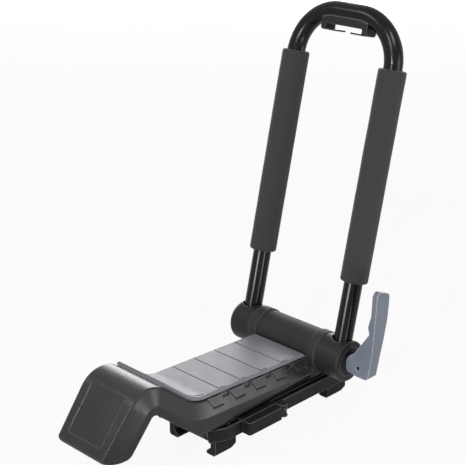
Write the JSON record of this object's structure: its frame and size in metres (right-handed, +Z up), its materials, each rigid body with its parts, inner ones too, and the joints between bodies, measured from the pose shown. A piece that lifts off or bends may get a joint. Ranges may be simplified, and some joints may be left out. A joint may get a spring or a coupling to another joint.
{
  "type": "j style kayak carrier",
  "caption": "Folding J-style kayak carrier: hooked padded base that clamps over a crossbar, and a foam-sleeved tube frame on a hinge barrel with a cam lever.",
  "frame": {"origin": "centre of the crossbar seat, on the underside of the bar pad", "axes": "+X along the crossbar towards the nose, +Y towards the cam lever, +Z up"},
  "size_m": [0.498, 0.2554, 0.544],
  "materials": {
    "base_plastic": "satin moulded, fine grain",
    "pad_rubber": "matte grey grip pad",
    "black_rubber": "matte",
    "tube_paint": "gloss black powder coat",
    "sleeve_foam": "matte closed-cell foam skin",
    "lever_plastic": "satin blue-grey",
    "steel": "zinc plated",
    "bearing_plastic": "smooth bearing grade"
  },
  "bodies": {
    "base": {"base_shell": "base_plastic", "grip_pad": "pad_rubber", "pad_clips": "base_plastic", "hinge_bush_left": "bearing_plastic", "hinge_bush_right": "bearing_plastic", "friction_disc_left": "bearing_plastic", "friction_disc_right": "bearing_plastic", "chassis": "base_plastic", "bar_pad": "black_rubber", "chassis_screws": "steel", "far_rail": "base_plastic", "far_rail_screws": "steel", "far_claw_liners": "black_rubber", "draw_nut": "steel"},
    "upright": {"upright_tube": "tube_paint", "foam_left": "sleeve_foam", "foam_right": "sleeve_foam", "knuckle_left": "base_plastic", "knuckle_right": "base_plastic", "left_end_cap": "base_plastic", "rod_nut": "steel", "hinge_rod": "steel", "cam_seat": "bearing_plastic", "strap_guide": "base_plastic", "strap_guide_rivets": "steel", "tube_screws": "steel"},
    "lever": {"cam_lever": "lever_plastic", "lever_pin": "steel"},
    "jaw": {"near_rail": "base_plastic", "near_claw_liners": "black_rubber", "guide_pins": "steel", "draw_bolt": "steel", "clamp_lever_pin": "steel"},
    "clamp": {"clamp_lever": "base_plastic"}
  },
  "joints": [
    {"name": "upright_fold", "type": "hinge", "parent": "base", "child": "upright", "pos_m": [-0.067, 0, 0.056], "axis": [0, 1, 0], "range_deg": [0, 103]},
    {"name": "cam_swing", "type": "hinge", "parent": "upright", "child": "lever", "pos_m": [-0.067, 0.1222, 0.056], "axis": [-1, 0, 0], "range_deg": [0, 100]},
    {"name": "jaw_slide", "type": "slide", "parent": "base", "child": "jaw", "axis": [0, 1, 0], "range_m": [0, 0.012]},
    {"name": "clamp_swing", "type": "hinge", "parent": "jaw", "child": "clamp", "pos_m": [0.025, 0.0645, 0], "axis": [0, 0, 1], "range_deg": [0, 100]}
  ]
}
